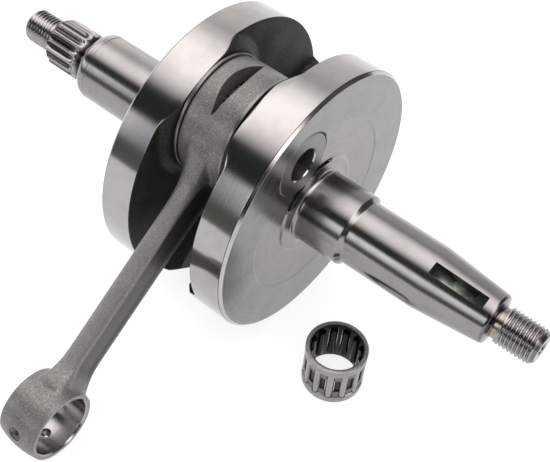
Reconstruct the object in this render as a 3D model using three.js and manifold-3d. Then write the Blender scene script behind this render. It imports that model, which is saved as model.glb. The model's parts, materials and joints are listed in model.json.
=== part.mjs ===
// Pressed-up crankshaft of a small two-stroke engine, with its connecting rod and a loose small-end
// needle bearing. Millimetres. The crankshaft's axis is Y, Z is up, and the origin lies on the axis
// halfway between the two webs. The webs, the rod's small end and the loose bearing stand on z = -38.
import * as THREE from 'three';
import { mergeVertices } from 'three/addons/utils/BufferGeometryUtils.js';
import Module from 'manifold-3d';

const wasm = await Module();
wasm.setup();

// ---------- driving dimensions ----------
const degree = Math.PI / 180;
const webRadius = 38;
const webInnerFace = 10.2;
const webOuterFace = 20.4;
const rimChamfer = 0.8;
const throwRadius = 22.5;
const pinAngle = 69.2 * degree;
const pinRadius = 9;
const pinHollowRadius = 4.55;
const pressGap = 0.12;

const bossRadius = 16.6;
const bossFootRadius = 19.4;
const bossFace = 7.7;
const padFace = 5.4;
const padWallRun = 3.6;
const padRimHeight = 2.3;
const padRimRun = 2.1;

const hubRadius = 13.5;
const hubDrop = 0.45;
const grooveRadius = 14.5;
const grooveDepth = 1.9;
const recessRadius = 25.5;
const recessDepth = 0.35;
const filletHeight = 1.3;
const journalRadius = 10;
const threadRadius = 5;
const threadPitch = 1.1;
const threadDepth = 0.45;
const neckRadius = 4.3;
const taperSeatEnd = 33.6;
const seatShoulderRun = 1.15;
const sealSeatRadius = 8.8;
const sealSeatEnd = 55.8;
const taperEnd = 74.5;
const taperEndRadius = 6.9;
const taperThreadStart = 76.9;
const taperThreadEnd = 87.6;
const splineSeatEnd = 56.6;
const splineStart = 60.9;
const splineEnd = 73.9;
const splineThreadStart = 74.3;
const splineThreadEnd = 84.8;
const splineTeeth = 16;
const splineTurn = -7.7 * degree;
const splineLandShare = 0.13;
const splineFootShare = 0.37;
const splineTipRadius = 7.3;
const splineRootRadius = 6.15;
const splineChamfer = 1.5;
const splineNoseRun = 1.3;

// Where each counterweight pad's mouth starts and ends, turning from the pin, X towards Z.
const taperMouth = [-88 * degree, 98 * degree];
const splineMouth = [-116 * degree, 100 * degree];
const mouthFloor = 6.3;
const mouthHalfWidth = 17;

const keywayWidth = 3.46;
const keyCutterRadius = 8;
const keywayCentre = 64.75;
const keyCutterHeight = 10.4;

const rodLength = 87;
const rodAngle = -33.76 * degree;
const bigEndRadius = 15.8;
const bigEndHalfWidth = 6.4;
const bigEndBoreRadius = 12;
const smallEndRadius = 10.55;
const smallEndFaceRadius = 9.5;
const smallEndHalfWidth = 6;
const smallEndBoreRadius = 8.4;
const shankStart = 8;
const shankEnd = 81;
const shankHalfHeight = 5.6;
const shankHalfThickness = 3.3;
const bigFlareHeight = 8;
const bigFlareThickness = 2.6;
const bigFlareRun = 8;
const smallFlareHeight = 3;
const smallFlareThickness = 2;
const smallFlareRun = 5;
const shankCornerPower = 0.5;
const channelStart = 20;
const channelEnd = 71;
const channelHalfHeight = 2.8;
const channelDepth = 1;
const slotAngle = 118 * degree;
const slotHalfWidth = 1.9;
const slotHalfLength = 9.6;
const slotHalfDepth = 6;
const oilHoleAngle = 50 * degree;
const oilHoleRadius = 1.4;

const bigRollerCount = 14;
const bigRollerRadius = 1.38;
const bigRollerLength = 9.2;
const bigCageHalfWidth = 6.2;
const bigCageInnerRadius = 9.45;
const bigCageOuterRadius = 11.6;
const washerInner = 6.6;
const washerOuter = 7.5;
const washerRadius = 16.3;
const washerClearance = 0.3;

const smallRollerCount = 13;
const smallRollerRadius = 1.1;
const smallRollerLength = 10.2;
const smallPitchRadius = 7.1;
const smallCageInnerRadius = 6.95;
const smallCageRadius = 8.25;
const smallCageWaist = 0.5;
const smallCageRimHeight = 1.6;
const smallCageHeight = 14;
const smallCagePlace = new THREE.Vector2(17.2, 43.5);
const windowClearance = 0.12;
const windowEndClearance = 0.15;

// ---------- small tools ----------
function toSolid(geometry) {
  const bare = geometry.clone();
  bare.deleteAttribute('normal');
  bare.deleteAttribute('uv');
  const merged = mergeVertices(bare, 1e-5);
  const mesh = new wasm.Mesh({
    numProp: 3,
    vertProperties: new Float32Array(merged.attributes.position.array),
    triVerts: new Uint32Array(merged.index.array),
  });
  return new wasm.Manifold(mesh);
}

function toGeometry(solid) {
  const mesh = solid.getMesh();
  const geometry = new THREE.BufferGeometry();
  geometry.setAttribute('position', new THREE.BufferAttribute(mesh.vertProperties, 3));
  geometry.setIndex(new THREE.BufferAttribute(mesh.triVerts, 1));
  geometry.computeVertexNormals();
  return geometry;
}

// A solid turned about the Y axis from [radius, y] points that run from low y to high y.
function turned(profile, segments) {
  const points = profile.map(([radius, y]) => new THREE.Vector2(radius, y));
  return toSolid(new THREE.LatheGeometry(points, segments));
}

function bar(radius, fromY, toY, segments) {
  return turned([[0, fromY], [radius, fromY], [radius, toY], [0, toY]], segments);
}

function moved(solid, x, y, z) {
  return solid.translate([x, y, z]);
}

// A bore whose flats, not its corners, lie on the given radius.
function boreCutter(radius, fromY, toY, segments) {
  return bar(radius / Math.cos(Math.PI / segments), fromY, toY, segments);
}

// A block along Y: an outline in the XZ plane pushed from one y to another.
function slab(outline, fromY, toY, bevel = 0) {
  const shape = new THREE.Shape(outline.map(([x, z]) => new THREE.Vector2(x, -z)));
  const geometry = new THREE.ExtrudeGeometry(shape, {
    depth: toY - fromY - 2 * bevel,
    bevelEnabled: bevel > 0,
    bevelThickness: bevel,
    bevelSize: bevel,
    bevelOffset: -bevel,
    bevelSegments: 3,
  });
  geometry.rotateX(-Math.PI / 2);
  geometry.translate(0, fromY + bevel, 0);
  return toSolid(geometry);
}

function steel(color, roughness, metalness) {
  return new THREE.MeshStandardMaterial({ color, roughness, metalness });
}

function part(name, solid, material) {
  const mesh = new THREE.Mesh(toGeometry(solid), material);
  mesh.name = name;
  return mesh;
}

// ---------- crank halves ----------
// A helical outside thread on the Y axis, chamfered at its free end and centre drilled there. A hand
// of 1 is right-handed, and -1 becomes right-handed once the part is mirrored to the spline side.
function thread(fromY, toY, hand) {
  const length = toY - fromY;
  const sides = 12;
  const stepsPerPitch = 3;
  const steps = Math.round((length / threadPitch) * stepsPerPitch);
  const cylinder = new THREE.CylinderGeometry(threadRadius, threadRadius, length, sides, steps);
  const place = cylinder.attributes.position;
  for (let i = 0; i < place.count; i += 1) {
    const x = place.getX(i);
    const z = place.getZ(i);
    const radius = Math.hypot(x, z);
    if (radius < 0.1) {
      continue;
    }
    const turns = Math.atan2(z, x) / (2 * Math.PI);
    const phase = place.getY(i) / threadPitch + hand * turns;
    const depth = threadDepth * Math.abs(2 * (phase - Math.floor(phase)) - 1);
    const scale = (threadRadius - depth) / radius;
    place.setX(i, x * scale);
    place.setZ(i, z * scale);
  }
  cylinder.translate(0, fromY + length / 2, 0);
  const envelope = turned([
    [0, fromY],
    [threadRadius + 1, fromY],
    [threadRadius + 1, toY - 2],
    [threadRadius - 1, toY - 0.01],
    [1.6, toY - 0.01],
    [0, toY - 2.8],
  ], 12);
  return toSolid(cylinder).intersect(envelope);
}

function webProfile() {
  return [
    [0, webInnerFace],
    [webRadius - 0.3, webInnerFace],
    [webRadius, webInnerFace + 0.3],
    [webRadius, webOuterFace - rimChamfer],
    [webRadius - rimChamfer, webOuterFace],
    [recessRadius, webOuterFace],
    [recessRadius - 1.1, webOuterFace - recessDepth],
    [grooveRadius + 0.3, webOuterFace - 2 * recessDepth],
    [grooveRadius, webOuterFace - grooveDepth],
    [hubRadius + 0.3, webOuterFace - grooveDepth],
    [hubRadius, webOuterFace - hubDrop],
    [journalRadius + 1.3, webOuterFace - hubDrop],
    [journalRadius + 0.5, webOuterFace - 0.1],
    [journalRadius - 0.1, webOuterFace + filletHeight],
    [0, webOuterFace + filletHeight],
  ];
}

// The taper end: bearing seat, seal seat, 1:5 taper, neck and thread.
function taperShaft() {
  return [
    [0, webOuterFace],
    [journalRadius, webOuterFace],
    [journalRadius, taperSeatEnd],
    [sealSeatRadius, taperSeatEnd + seatShoulderRun],
    [sealSeatRadius, sealSeatEnd],
    [taperEndRadius, taperEnd],
    [taperEndRadius - 0.5, taperEnd + 0.6],
    [neckRadius, taperEnd + 0.7],
    [neckRadius, taperThreadStart - 0.4],
    [neckRadius + 0.1, taperThreadStart + 0.4],
    [0, taperThreadStart + 0.4],
  ];
}

// The spline end: bearing seat, rounded shoulder, neck, spline blank and thread.
function splineShaft() {
  return [
    [0, webOuterFace],
    [journalRadius, webOuterFace],
    [journalRadius, splineSeatEnd],
    [journalRadius - 0.4, splineSeatEnd + 1.1],
    [journalRadius - 1.4, splineSeatEnd + 2.1],
    [journalRadius - 2.4, splineSeatEnd + 2.4],
    [splineRootRadius, splineStart - 1.3],
    [splineRootRadius - 0.25, splineStart - 0.4],
    [splineRootRadius, splineStart + 0.2],
    [splineRootRadius, splineEnd - 0.4],
    [neckRadius + 0.2, splineEnd + 0.3],
    [neckRadius + 0.1, splineThreadStart + 0.5],
    [0, splineThreadStart + 0.5],
  ];
}

// Teeth with sloped flanks and narrow lands, whose far end runs out in a cone towards the neck.
function splineCrown() {
  const outline = [];
  const step = (2 * Math.PI) / splineTeeth;
  for (let tooth = 0; tooth < splineTeeth; tooth += 1) {
    const corners = [
      [splineRootRadius - 0.05, -splineFootShare],
      [splineTipRadius, -splineLandShare],
      [splineTipRadius, splineLandShare],
      [splineRootRadius - 0.05, splineFootShare],
    ];
    for (const [radius, share] of corners) {
      const angle = splineTurn + (tooth + share) * step;
      outline.push([radius * Math.cos(angle), radius * Math.sin(angle)]);
    }
  }
  const teeth = slab(outline, splineStart, splineEnd);
  const envelope = turned([
    [0, splineStart],
    [splineRootRadius + 0.1, splineStart],
    [splineTipRadius + 0.1, splineStart + splineNoseRun],
    [splineTipRadius + 0.1, splineEnd - splineChamfer],
    [splineRootRadius + 0.1, splineEnd],
    [0, splineEnd],
  ], 28);
  return teeth.intersect(envelope);
}

// The forged counterweight pad inside a web: the part of the rim outside a mouth that opens towards
// the pin.
function counterweightPad([from, to]) {
  const reach = webRadius + 2 * padWallRun;
  const outline = [];
  const steps = 20;
  for (let i = 0; i <= steps; i += 1) {
    const angle = to + ((2 * Math.PI + from - to) * i) / steps;
    outline.push([reach * Math.cos(angle), reach * Math.sin(angle)]);
  }
  outline.push([-mouthFloor, -mouthHalfWidth]);
  outline.push([-mouthFloor, mouthHalfWidth]);
  const shape = new THREE.Shape(outline.map(([x, z]) => new THREE.Vector2(x, z)));
  const height = webInnerFace - padFace;
  const geometry = new THREE.ExtrudeGeometry(shape, {
    depth: 1,
    bevelEnabled: true,
    bevelThickness: height,
    bevelSize: padWallRun,
    bevelOffset: -padWallRun,
    bevelSegments: 2,
  });
  geometry.rotateX(Math.PI / 2);
  geometry.translate(0, webInnerFace + 1, 0);
  const rim = turned([
    [0, padFace],
    [webRadius - padRimRun, padFace],
    [webRadius, webInnerFace - padRimHeight],
    [webRadius, webInnerFace + 1],
    [0, webInnerFace + 1],
  ], 54);
  return toSolid(geometry).intersect(rim);
}

// The raised face round the crank pin, which carries the thrust washer.
function pinBoss() {
  const cone = turned([
    [0, bossFace],
    [bossRadius, bossFace],
    [bossFootRadius, webInnerFace + 0.1],
    [bossFootRadius, webInnerFace + 1],
    [0, webInnerFace + 1],
  ], 40);
  const rim = bar(webRadius, bossFace, webInnerFace + 1, 54);
  return moved(cone, throwRadius, 0, 0).intersect(rim);
}

function crankHalf(shaft, end, mouth) {
  const pinHole = boreCutter(pinRadius + pressGap, 0, webOuterFace + 5, 40);
  return turned(webProfile(), 54)
    .add(turned(shaft, 30))
    .add(counterweightPad(mouth))
    .add(pinBoss())
    .add(end)
    .subtract(moved(pinHole, throwRadius, 0, 0));
}

function taperHalf() {
  const half = crankHalf(taperShaft(), thread(taperThreadStart, taperThreadEnd, 1), taperMouth);
  const cutter = toSolid(new THREE.CylinderGeometry(keyCutterRadius, keyCutterRadius, keywayWidth, 40)
    .rotateX(Math.PI / 2)
    .translate(keyCutterHeight, keywayCentre, 0));
  return half.subtract(cutter);
}

function splineHalf() {
  const end = thread(splineThreadStart, splineThreadEnd, -1).add(splineCrown());
  return crankHalf(splineShaft(), end, splineMouth).mirror([0, 1, 0]);
}

function crankPin() {
  const half = webOuterFace - 0.2;
  const blank = turned([
    [0, -half],
    [pinRadius - 0.4, -half],
    [pinRadius, -half + 0.4],
    [pinRadius, half - 0.4],
    [pinRadius - 0.4, half],
    [0, half],
  ], 40);
  const mouth = turned([
    [0, half - 1],
    [pinHollowRadius - 0.2, half - 1],
    [pinHollowRadius + 0.9, half + 0.1],
    [0, half + 0.1],
  ], 24);
  return blank
    .subtract(bar(pinHollowRadius, -half - 1, half + 1, 24))
    .subtract(mouth)
    .subtract(mouth.mirror([0, 1, 0]));
}

// ---------- connecting rod ----------
// The rod lies along local X from the crank pin, with its bores along Y.
function bigEndEye() {
  return turned([
    [0, -bigEndHalfWidth],
    [bigEndRadius - 0.9, -bigEndHalfWidth],
    [bigEndRadius, -bigEndHalfWidth + 1.6],
    [bigEndRadius, bigEndHalfWidth - 1.6],
    [bigEndRadius - 0.9, bigEndHalfWidth],
    [0, bigEndHalfWidth],
  ], 48);
}

function smallEndEye() {
  const points = [[0, -smallEndHalfWidth]];
  const steps = 6;
  for (let i = 0; i <= steps; i += 1) {
    const share = (2 * i) / steps - 1;
    const radius = smallEndFaceRadius + (smallEndRadius - smallEndFaceRadius) * (1 - share * share);
    points.push([radius, share * smallEndHalfWidth]);
  }
  points.push([0, smallEndHalfWidth]);
  return turned(points, 40);
}

function bell(distance, run) {
  return Math.exp(-((distance / run) ** 2));
}

// Half the shank's height at a distance x from the pin, flaring into each eye.
function shankHeightAt(x) {
  const bigFlare = bigFlareHeight * bell(x - shankStart, bigFlareRun);
  const smallFlare = smallFlareHeight * bell(x - shankEnd, smallFlareRun);
  return shankHalfHeight + bigFlare + smallFlare;
}

function shankThicknessAt(x) {
  const bigFlare = bigFlareThickness * bell(x - shankStart, bigFlareRun);
  const smallFlare = smallFlareThickness * bell(x - shankEnd, smallFlareRun);
  return shankHalfThickness + bigFlare + smallFlare;
}

// A rounded bar whose section changes along X.
function shank() {
  const steps = 20;
  const sides = 16;
  const box = new THREE.CylinderGeometry(1, 1, shankEnd - shankStart, sides, steps);
  box.rotateZ(-Math.PI / 2);
  box.translate((shankStart + shankEnd) / 2, 0, 0);
  const place = box.attributes.position;
  for (let i = 0; i < place.count; i += 1) {
    const angle = Math.atan2(place.getZ(i), place.getY(i));
    const radius = Math.hypot(place.getY(i), place.getZ(i));
    const x = place.getX(i);
    const across = Math.sign(Math.cos(angle)) * Math.abs(Math.cos(angle)) ** shankCornerPower;
    const up = Math.sign(Math.sin(angle)) * Math.abs(Math.sin(angle)) ** shankCornerPower;
    place.setY(i, radius * across * shankThicknessAt(x));
    place.setZ(i, radius * up * shankHeightAt(x));
  }
  return toSolid(box);
}

// A long round-ended channel sunk in one side of the shank.
function shankChannel(side) {
  const outline = [];
  const steps = 6;
  for (let i = 0; i <= steps; i += 1) {
    const angle = -Math.PI / 2 + (Math.PI * i) / steps;
    outline.push([channelEnd + channelHalfHeight * Math.cos(angle), channelHalfHeight * Math.sin(angle)]);
  }
  for (let i = 0; i <= steps; i += 1) {
    const angle = Math.PI / 2 + (Math.PI * i) / steps;
    outline.push([channelStart + channelHalfHeight * Math.cos(angle), channelHalfHeight * Math.sin(angle)]);
  }
  const floor = shankHalfThickness - channelDepth;
  const cut = slab(outline, floor, floor + 6);
  return side > 0 ? cut : cut.mirror([0, 1, 0]);
}

// A lens-shaped oil slot through the big end's wall, on the crank's mid-plane.
function bigEndSlot(angle) {
  const lens = new THREE.SphereGeometry(1, 16, 8);
  lens.scale(slotHalfDepth, slotHalfWidth, slotHalfLength);
  lens.translate(bigEndRadius - 1.2, 0, 0);
  lens.rotateY(-angle);
  return toSolid(lens);
}

function oilHole(angle) {
  const hole = new THREE.CylinderGeometry(oilHoleRadius, oilHoleRadius, 8, 12);
  hole.rotateZ(-Math.PI / 2);
  hole.translate(smallEndBoreRadius + 2, 0, 0);
  hole.rotateY(-angle);
  hole.translate(rodLength, 0, 0);
  return toSolid(hole);
}

function connectingRod() {
  const smallBore = boreCutter(smallEndBoreRadius, -20, 20, 40);
  const chamfer = turned([
    [0, smallEndHalfWidth - 0.5],
    [smallEndBoreRadius - 0.1, smallEndHalfWidth - 0.5],
    [smallEndBoreRadius + 0.5, smallEndHalfWidth + 0.1],
    [0, smallEndHalfWidth + 0.1],
  ], 40);
  return shank()
    .add(bigEndEye())
    .add(moved(smallEndEye(), rodLength, 0, 0))
    .subtract(boreCutter(bigEndBoreRadius, -20, 20, 48))
    .subtract(moved(smallBore, rodLength, 0, 0))
    .subtract(moved(chamfer, rodLength, 0, 0))
    .subtract(moved(chamfer.mirror([0, 1, 0]), rodLength, 0, 0))
    .subtract(shankChannel(1))
    .subtract(shankChannel(-1))
    .subtract(bigEndSlot(slotAngle))
    .subtract(bigEndSlot(-slotAngle))
    .subtract(oilHole(oilHoleAngle))
    .subtract(oilHole(-oilHoleAngle));
}

function thrustWasher(side) {
  const ring = turned([
    [0, washerInner],
    [washerRadius, washerInner],
    [washerRadius, washerOuter],
    [0, washerOuter],
  ], 48);
  const hole = boreCutter(pinRadius + washerClearance, washerInner - 1, washerOuter + 1, 40);
  const washer = ring.subtract(hole);
  return side > 0 ? washer : washer.mirror([0, 1, 0]);
}

// ---------- needle cages and rollers ----------
// One window for each roller, cut through a turned ring.
function cutWindows(ring, count, pitchRadius, windowRadius, halfLength, centreY) {
  let cage = ring;
  for (let i = 0; i < count; i += 1) {
    const angle = (2 * Math.PI * i) / count;
    const window = boreCutter(windowRadius, centreY - halfLength, centreY + halfLength, 12);
    cage = cage.subtract(moved(window, pitchRadius * Math.cos(angle), 0, pitchRadius * Math.sin(angle)));
  }
  return cage;
}

const bigPitchRadius = (pinRadius + bigEndBoreRadius) / 2;
function bigEndCage() {
  const ring = turned([
    [bigCageInnerRadius, -bigCageHalfWidth],
    [bigCageOuterRadius, -bigCageHalfWidth],
    [bigCageOuterRadius, bigCageHalfWidth],
    [bigCageInnerRadius, bigCageHalfWidth],
    [bigCageInnerRadius, -bigCageHalfWidth],
  ], 28);
  const halfLength = bigRollerLength / 2 + windowEndClearance;
  const windowRadius = bigRollerRadius + windowClearance;
  return cutWindows(ring, bigRollerCount, bigPitchRadius, windowRadius, halfLength, 0);
}

function smallEndCage() {
  const waistRadius = smallCageRadius - smallCageWaist;
  const waistStart = smallCageRimHeight + smallCageWaist;
  const ring = turned([
    [smallCageInnerRadius, 0],
    [smallCageRadius, 0],
    [smallCageRadius, smallCageRimHeight],
    [waistRadius, waistStart],
    [waistRadius, smallCageHeight - waistStart],
    [smallCageRadius, smallCageHeight - smallCageRimHeight],
    [smallCageRadius, smallCageHeight],
    [smallCageInnerRadius, smallCageHeight],
    [smallCageInnerRadius, 0],
  ], 39);
  const middle = smallCageHeight / 2;
  const halfLength = smallRollerLength / 2 + windowEndClearance;
  const windowRadius = smallRollerRadius + windowClearance;
  return cutWindows(ring, smallRollerCount, smallPitchRadius, windowRadius, halfLength, middle);
}

function roller(radius, length) {
  return bar(radius, -length / 2, length / 2, 12);
}

// A ring of rollers about the Y axis, each with its own name and place.
function rollerRing(group, name, count, pitchRadius, radius, length, centreY, material) {
  const shape = roller(radius, length);
  for (let i = 0; i < count; i += 1) {
    const angle = (2 * Math.PI * i) / count;
    const number = String(i + 1).padStart(2, '0');
    const mesh = part(`${name}_${number}`, shape, material);
    mesh.position.set(pitchRadius * Math.cos(angle), centreY, pitchRadius * Math.sin(angle));
    group.add(mesh);
  }
}

// ---------- assembly ----------
const machined = steel(0xb9b2b2, 0.28, 1);
const ground = steel(0xcfc9c8, 0.18, 1);
const forged = steel(0x77746f, 0.62, 0.85);
const cageSteel = steel(0x6d6a66, 0.45, 0.9);
const rollerSteel = steel(0xa7a4a2, 0.2, 1);

const crank = new THREE.Group();
crank.rotation.y = -pinAngle;
crank.add(part('taper_crank_half', taperHalf(), machined));
crank.add(part('spline_crank_half', splineHalf(), machined));

const pin = new THREE.Group();
pin.position.set(throwRadius, 0, 0);
pin.add(part('crank_pin', crankPin(), ground));
pin.add(part('taper_side_thrust_washer', thrustWasher(1), ground));
pin.add(part('spline_side_thrust_washer', thrustWasher(-1), ground));
pin.add(part('big_end_cage', bigEndCage(), cageSteel));
rollerRing(pin, 'big_end_needle', bigRollerCount, bigPitchRadius, bigRollerRadius, bigRollerLength, 0, rollerSteel);
crank.add(pin);

const rod = new THREE.Group();
rod.rotation.y = pinAngle - rodAngle;
rod.add(part('connecting_rod', connectingRod(), forged));
pin.add(rod);

const bearing = new THREE.Group();
bearing.position.set(smallCagePlace.x, smallCagePlace.y, -webRadius);
bearing.rotation.x = Math.PI / 2;
bearing.add(part('small_end_cage', smallEndCage(), cageSteel));
rollerRing(bearing, 'small_end_needle', smallRollerCount, smallPitchRadius, smallRollerRadius,
  smallRollerLength, smallCageHeight / 2, rollerSteel);

const object = new THREE.Group();
object.add(crank);
object.add(bearing);

export default object;
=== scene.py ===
"""Looks of a two-stroke engine's crankshaft with its connecting rod and loose small-end bearing.

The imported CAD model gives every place. Shapes are worked out in millimetres and scaled to metres
when a mesh is made. The crankshaft's axis is Y, and angles in the crank's own frame start at the
crank pin and turn from X towards Z.
"""
import json
import math

import bmesh
import bpy
import numpy as np
from mathutils import Matrix, Vector


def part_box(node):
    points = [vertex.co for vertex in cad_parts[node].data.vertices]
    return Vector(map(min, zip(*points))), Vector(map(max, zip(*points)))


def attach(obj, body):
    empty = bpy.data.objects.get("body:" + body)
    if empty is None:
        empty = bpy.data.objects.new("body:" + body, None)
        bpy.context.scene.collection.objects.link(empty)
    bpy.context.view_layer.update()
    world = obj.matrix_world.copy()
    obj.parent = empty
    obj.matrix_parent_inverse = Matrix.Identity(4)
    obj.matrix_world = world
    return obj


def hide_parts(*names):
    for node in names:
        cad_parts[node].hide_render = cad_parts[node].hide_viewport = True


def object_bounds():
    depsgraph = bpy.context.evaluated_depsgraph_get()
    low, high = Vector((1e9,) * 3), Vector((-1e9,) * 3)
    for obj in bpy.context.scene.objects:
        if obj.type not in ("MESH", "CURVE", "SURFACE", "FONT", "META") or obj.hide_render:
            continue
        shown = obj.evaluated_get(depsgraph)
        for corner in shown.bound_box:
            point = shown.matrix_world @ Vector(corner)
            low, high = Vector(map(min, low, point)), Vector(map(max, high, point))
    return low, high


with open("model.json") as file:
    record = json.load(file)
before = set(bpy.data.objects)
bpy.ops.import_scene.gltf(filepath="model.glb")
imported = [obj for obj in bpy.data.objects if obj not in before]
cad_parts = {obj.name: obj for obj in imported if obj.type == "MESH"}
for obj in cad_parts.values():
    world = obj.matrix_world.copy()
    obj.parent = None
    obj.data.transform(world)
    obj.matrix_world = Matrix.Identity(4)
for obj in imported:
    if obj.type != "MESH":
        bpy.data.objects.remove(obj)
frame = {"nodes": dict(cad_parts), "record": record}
cad_low, cad_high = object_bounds()

MM = 0.001


# ---------- places taken from the frame, in millimetres ----------
def node_box(node):
    low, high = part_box(node)
    return np.array(low) / MM, np.array(high) / MM


def node_centre(node):
    low, high = node_box(node)
    return (low + high) / 2


def opening_centre(name):
    for opening in frame["record"]["physics"]["openings"]:
        if opening["name"] == name:
            low, high = opening["box_m"]
            return (np.array(low) + np.array(high)) / 2 / MM
    raise ValueError(name)


def nodes_named(start):
    return sorted(node for node in frame["nodes"] if node.startswith(start))


pin_centre = node_centre("crank_pin")
small_end_centre = opening_centre("small_end_eye")
bearing_low, bearing_high = node_box("small_end_cage")
bearing_centre = (bearing_low + bearing_high) / 2
washer_low, washer_high = node_box("taper_side_thrust_washer")
taper_low, taper_high = node_box("taper_crank_half")
spline_low, spline_high = node_box("spline_crank_half")
floor_z = cad_low[2] / MM

WEB_RADIUS = (taper_high[2] - taper_low[2]) / 2
PIN_ANGLE = math.atan2(pin_centre[2], pin_centre[0])
THROW = math.hypot(pin_centre[0], pin_centre[2])
ROD_ANGLE = math.atan2(small_end_centre[2] - pin_centre[2], small_end_centre[0] - pin_centre[0])
ROD_LENGTH = math.hypot(small_end_centre[0] - pin_centre[0], small_end_centre[2] - pin_centre[2])
TAPER_END = taper_high[1]
SPLINE_END = -spline_low[1]

# ---------- sizes of the forms, in millimetres ----------
WEB_INNER = 10.2
WEB_OUTER = 20.4
RIM_CHAMFER = 0.8
RECESS_RADIUS = 25.4
RECESS_STEP = 0.16
DISH_DEPTH = 0.3
DISH_RUN = 10
HUB_RADIUS = 13.5
HUB_RISE = 0.4
HUB_FOOT = 12.0
HUB_FILLET = 1.2
GROOVE_RADIUS = 14.5
GROOVE_DEPTH = 1.9
GROOVE_WALL = 0.08
BOSS_FACE = 7.7
BOSS_RADIUS = 16.6
BOSS_FOOT = 19.4
PAD_FACE = 5.4
PAD_RUN = 3.6
PAD_RIM_HEIGHT = 2.3
PAD_RIM_SLOPE = 1.2
CAST_WAVE = 0.12
MOUTH_FLOOR = 6.3
MOUTH_HALF_WIDTH = 17
PIN_RADIUS = 9.0
PIN_HOLLOW = 4.55
JOURNAL = 10.0
JOURNAL_START = 22.5
NECK_RADIUS = 4.3
CENTRE_HOLE_DEPTH = 3.3
TAPER_THREAD_START = 77.0
KEY_CUTTER_RADIUS = 8.0
KEY_CUTTER_HEIGHT = 10.4
KEY_CENTRE = 64.75
KEY_HALF_WIDTH = 1.73
THREAD_RADIUS = 5.0
THREAD_DEPTH = 0.46
THREAD_PITCH = 1.1
SPLINE_TEETH = 16
SPLINE_TURN = math.radians(-7.7)
SPLINE_TIP = 7.3
SPLINE_ROOT = 6.2
SPLINE_START = 60.9
SPLINE_FINISH = 73.95
SPLINE_CHAMFER = 1.5
SPLINE_THREAD_START = 74.2
BIG_END_RADIUS = 15.8
BIG_END_HALF = 6.4
BIG_END_BORE = 12.0
SMALL_END_RADIUS = 10.55
SMALL_END_FACE = 9.5
SMALL_END_HALF = 6.0
SMALL_END_BORE = 8.4
MACHINING = 0.9
SHANK_START = 8
SHANK_END = 81
SHANK_HALF_HEIGHT = 5.6
SHANK_HALF_THICKNESS = 3.3
CHANNEL_DEPTH = 1.15
SLOT_ANGLE = 118
SLOT_HALF_LENGTH = 9.9
OIL_HOLE_RADIUS = 1.35
OIL_HOLES = ((50, 1.9), (-50, 0.5))
TAPER_MOUTH = (math.radians(-88), math.radians(98))
SPLINE_MOUTH = (math.radians(-116), math.radians(100))
BIG_ROLLERS = len(nodes_named("big_end_needle"))
BIG_ROLLER = 1.38
BIG_ROLLER_LENGTH = 9.2
BIG_PITCH = 10.5
BIG_CAGE_INNER = 9.45
BIG_CAGE_OUTER = 11.6
BIG_CAGE_HALF = 6.2
SMALL_ROLLERS = len(nodes_named("small_end_needle"))
SMALL_ROLLER = 1.1
SMALL_ROLLER_LENGTH = 10.2
SMALL_PITCH = 7.1
SMALL_CAGE_INNER = 6.95
SMALL_CAGE_OUTER = 8.25
SMALL_CAGE_HALF = (bearing_high[2] - bearing_low[2]) / 2
WINDOW_GAP = 0.12
WINDOW_END_GAP = 0.15


# ---------- mesh tools ----------
def smoothstep(low, high, value):
    t = np.clip((value - low) / (high - low), 0, 1)
    return t * t * (3 - 2 * t)


def new_object(name, verts, faces, place=None, sharp=35, kinds=None):
    """A mesh object from points in millimetres, moved by place and scaled to metres."""
    mesh = bpy.data.meshes.new(name)
    mesh.from_pydata(np.asarray(verts, float).tolist(), [], faces)
    transform = Matrix.Scale(MM, 4)
    if place is not None:
        transform = transform @ place
    mesh.transform(transform)
    if kinds is not None:
        mesh.polygons.foreach_set("material_index", kinds)
    outward = bmesh.new()
    outward.from_mesh(mesh)
    bmesh.ops.recalc_face_normals(outward, faces=outward.faces)
    outward.to_mesh(mesh)
    outward.free()
    obj = bpy.data.objects.new(name, mesh)
    bpy.context.scene.collection.objects.link(obj)
    smooth(obj, sharp)
    return obj


def smooth(obj, sharp=35):
    mesh = obj.data
    mesh.polygons.foreach_set("use_smooth", [True] * len(mesh.polygons))
    mesh.set_sharp_from_angle(angle=math.radians(sharp))


def even_angles(count):
    return np.arange(count) * (2 * math.pi / count)


def ring_points(radii, heights):
    angles = even_angles(len(radii))
    return np.stack([radii * np.cos(angles), heights, radii * np.sin(angles)], axis=1)


def bridge(a, n, b, m):
    """Faces between a ring of n points from index a and a ring of m = n or n / 2 from index b."""
    faces = []
    for j in range(m):
        p, q = b + j, b + (j + 1) % m
        if n == m:
            faces.append((a + j, a + (j + 1) % n, q, p))
        else:
            left, middle, right = a + 2 * j, a + 2 * j + 1, a + (2 * j + 2) % n
            faces += [(left, middle, p), (middle, q, p), (middle, right, q)]
    return faces


def skin(name, first_y, rings, last_y, place=None, sharp=35):
    """A closed skin about Y through rings of (radii, heights, kind), ending in a pole at each end.

    A ring may hold half as many points as the ring before it. A face takes its material slot from
    the kind of the ring that it leads to.
    """
    verts, faces, kinds = [], [], []
    start = 0
    previous = None
    for radii, heights, kind in rings:
        count = len(radii)
        verts.append(ring_points(radii, heights))
        if previous is not None:
            band = bridge(previous[0], previous[1], start, count)
            faces += band
            kinds += [kind] * len(band)
        previous = (start, count)
        start += count
    verts.append(np.array([[0, first_y, 0], [0, last_y, 0]], float))
    first_count = len(rings[0][0])
    last_start, last_count = previous
    faces += [(start, (j + 1) % first_count, j) for j in range(first_count)]
    kinds += [rings[0][2]] * first_count
    faces += [(start + 1, last_start + j, last_start + (j + 1) % last_count)
              for j in range(last_count)]
    kinds += [rings[-1][2]] * last_count
    return new_object(name, np.concatenate(verts), faces, place, sharp, kinds)


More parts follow.
